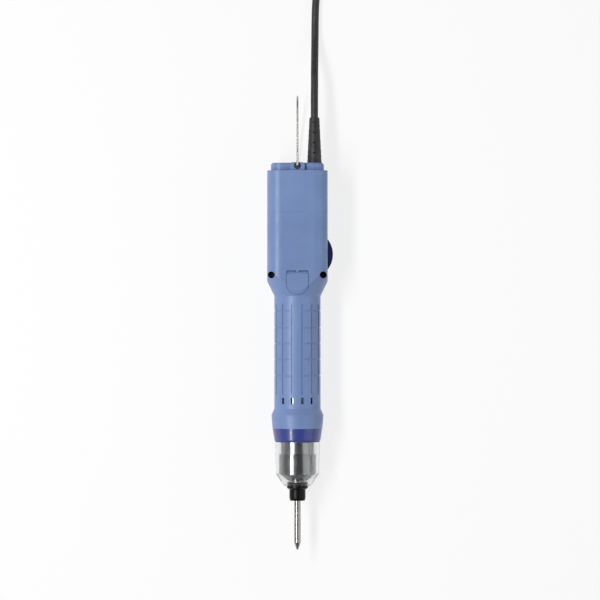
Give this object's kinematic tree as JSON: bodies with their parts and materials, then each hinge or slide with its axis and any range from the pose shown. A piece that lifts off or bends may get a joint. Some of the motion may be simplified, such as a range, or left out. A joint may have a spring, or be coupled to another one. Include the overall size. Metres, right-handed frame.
{
  "type": "electric torque screwdriver",
  "caption": "In-line corded electric torque screwdriver: ribbed round grip, square motor housing, clear nose cover over a torque nut, cross bit, wire bail.",
  "frame": {"origin": "on the flat back of the housing, under the tool's axis, where it rests on the table", "axes": "+Y along the tool from the bit towards the cord, +Z out of the front face, up, +X to the right with the rocker"},
  "size_m": [0.0865, 0.5148, 0.0399],
  "materials": {
    "housing_blue": "fine moulded texture",
    "rocker_blue": "polished",
    "ring_blue": "satin",
    "clear_plastic": "polished",
    "nut_steel": "turned",
    "case_steel": "turned",
    "black_oxide": "blackened steel",
    "screw_black": "blackened",
    "screw_steel": "zinc plated",
    "bail_wire": "drawn wire",
    "eyelet_metal": "burnished",
    "cord_rubber": "matt jacket",
    "plug_black": "moulded",
    "tie_fabric": "woven strap",
    "contact_gold": "plated",
    "bit_steel": "ground",
    "ball_steel": "polished",
    "spring_steel": "drawn",
    "gear_steel": "hardened",
    "planet_brass": "sintered",
    "bush_bronze": "sintered",
    "magnet_grey": "coated",
    "stator_iron": "laminated",
    "copper": "enamelled",
    "inner_plastic": "moulded",
    "board_green": "solder mask",
    "chip_black": "moulded",
    "wire_red": "insulation"
  },
  "bodies": {
    "root": {"front_shell": "housing_blue", "rear_shell": "housing_blue", "upper_cover": "housing_blue", "top_cap": "housing_blue", "rocker_pin": "bit_steel", "fr_switch": "inner_plastic", "housing_screws": "screw_black", "cap_screws": "screw_steel", "bail_eyelets": "eyelet_metal", "cord_relief": "cord_rubber", "colour_ring": "ring_blue", "gear_case": "case_steel", "ring_gear": "gear_steel", "bearing_races": "ball_steel", "torque_spring": "spring_steel", "start_spring": "spring_steel", "motor_can": "case_steel", "stator_stack": "stator_iron", "stator_coils": "copper", "end_bell": "inner_plastic", "sensor_mount": "inner_plastic", "start_sensor": "board_green", "control_board": "board_green", "board_parts": "chip_black", "lead_wires": "wire_red", "cord_clamp": "inner_plastic", "cord": "cord_rubber", "cord_coil": "cord_rubber", "coil_tie": "tie_fabric", "plug_body": "plug_black", "plug_contacts": "contact_gold"},
    "cover": {"clear_cover": "clear_plastic"},
    "seat": {"spring_seat": "planet_brass", "seat_bush": "bush_bronze"},
    "nut": {"torque_nut": "nut_steel"},
    "start_rod": {"push_rod": "bit_steel", "rod_magnet": "magnet_grey"},
    "spindle": {"spindle": "bit_steel", "bit": "bit_steel", "lock_balls": "ball_steel", "sleeve_clip": "black_oxide", "sleeve_spring": "spring_steel"},
    "sleeve": {"bit_sleeve": "black_oxide"},
    "output": {"output_carrier": "gear_steel", "output_race": "ball_steel", "clutch_balls": "ball_steel"},
    "cam": {"clutch_cam": "gear_steel"},
    "planet_out_1": {"planet_out_1": "planet_brass"},
    "planet_out_2": {"planet_out_2": "planet_brass"},
    "planet_out_3": {"planet_out_3": "planet_brass"},
    "first": {"first_carrier": "gear_steel"},
    "planet_in_1": {"planet_in_1": "planet_brass"},
    "planet_in_2": {"planet_in_2": "planet_brass"},
    "planet_in_3": {"planet_in_3": "planet_brass"},
    "rotor": {"rotor_shaft": "gear_steel", "rotor_magnet": "magnet_grey", "rotor_races": "ball_steel"},
    "rocker": {"fr_rocker": "rocker_blue"},
    "bail": {"bail": "bail_wire"},
    "flap": {"service_flap": "housing_blue"}
  },
  "joints": [
    {"name": "push_start", "type": "slide", "parent": "root", "child": "start_rod", "axis": [0, 1, 0], "range_m": [0, 0.0012], "stiffness_N_per_m": 400, "springref_m": -0.004, "deforming": ["start_spring"]},
    {"name": "spindle_spin", "type": "hinge", "parent": "start_rod", "child": "spindle", "pos_m": [0, 0, 0.01975], "axis": [0, 1, 0], "continuous": true},
    {"name": "sleeve_pull", "type": "slide", "parent": "spindle", "child": "sleeve", "axis": [0, -1, 0], "range_m": [0, 0.0025], "stiffness_N_per_m": 300, "springref_m": -0.003, "deforming": ["sleeve_spring"]},
    {"name": "motor_spin", "type": "hinge", "parent": "root", "child": "rotor", "pos_m": [0, 0, 0.01975], "axis": [0, 1, 0], "continuous": true},
    {"name": "first_stage_spin", "type": "hinge", "parent": "root", "child": "first", "pos_m": [0, 0, 0.01975], "axis": [0, 1, 0], "continuous": true},
    {"name": "output_spin", "type": "hinge", "parent": "root", "child": "output", "pos_m": [0, 0, 0.01975], "axis": [0, 1, 0], "continuous": true},
    {"name": "planet_in_1_spin", "type": "hinge", "parent": "first", "child": "planet_in_1", "pos_m": [0.0075, 0, 0.01975], "axis": [0, 1, 0], "continuous": true},
    {"name": "planet_in_2_spin", "type": "hinge", "parent": "first", "child": "planet_in_2", "pos_m": [-0.00375, 0, 0.01325], "axis": [0, 1, 0], "continuous": true},
    {"name": "planet_in_3_spin", "type": "hinge", "parent": "first", "child": "planet_in_3", "pos_m": [-0.00375, 0, 0.02625], "axis": [0, 1, 0], "continuous": true},
    {"name": "planet_out_1_spin", "type": "hinge", "parent": "output", "child": "planet_out_1", "pos_m": [0.0075, 0, 0.01975], "axis": [0, 1, 0], "continuous": true},
    {"name": "planet_out_2_spin", "type": "hinge", "parent": "output", "child": "planet_out_2", "pos_m": [-0.00375, 0, 0.01325], "axis": [0, 1, 0], "continuous": true},
    {"name": "planet_out_3_spin", "type": "hinge", "parent": "output", "child": "planet_out_3", "pos_m": [-0.00375, 0, 0.02625], "axis": [0, 1, 0], "continuous": true},
    {"name": "clutch_release", "type": "slide", "parent": "output", "child": "cam", "axis": [0, -1, 0], "range_m": [0, 0.0012], "stiffness_N_per_m": 400, "springref_m": -0.01},
    {"name": "seat_travel", "type": "slide", "parent": "root", "child": "seat", "axis": [0, 1, 0], "range_m": [0, 0.006], "deforming": ["torque_spring"]},
    {"name": "nut_turn", "type": "hinge", "parent": "seat", "child": "nut", "pos_m": [0, 0, 0.01975], "axis": [0, 1, 0], "range_deg": [0, 1440]},
    {"name": "cover_pull", "type": "slide", "parent": "root", "child": "cover", "axis": [0, -1, 0], "range_m": [0, 0.088]},
    {"name": "direction_rock", "type": "hinge", "parent": "root", "child": "rocker", "pos_m": [0.017, -0.003, 0.01975], "axis": [0, 0, 1], "range_deg": [-6, 6]},
    {"name": "bail_swing", "type": "hinge", "parent": "root", "child": "bail", "pos_m": [0, 0.064, 0.01975], "axis": [0, 0, 1], "range_deg": [-8, 95]},
    {"name": "flap_open", "type": "hinge", "parent": "root", "child": "flap", "pos_m": [0, -0.0172, 0.0395], "axis": [-1, 0, 0], "range_deg": [0, 70]}
  ],
  "couplings": [
    {"joint": "first_stage_spin", "follows": "motor_spin", "ratio": 0.2},
    {"joint": "output_spin", "follows": "motor_spin", "ratio": 0.04},
    {"joint": "spindle_spin", "follows": "motor_spin", "ratio": 0.04},
    {"joint": "planet_in_1_spin", "follows": "motor_spin", "ratio": -0.53333},
    {"joint": "planet_in_2_spin", "follows": "motor_spin", "ratio": -0.53333},
    {"joint": "planet_in_3_spin", "follows": "motor_spin", "ratio": -0.53333},
    {"joint": "planet_out_1_spin", "follows": "motor_spin", "ratio": -0.10667},
    {"joint": "planet_out_2_spin", "follows": "motor_spin", "ratio": -0.10667},
    {"joint": "planet_out_3_spin", "follows": "motor_spin", "ratio": -0.10667},
    {"joint": "seat_travel", "follows": "nut_turn", "m_per_rad": 0.00023873}
  ]
}
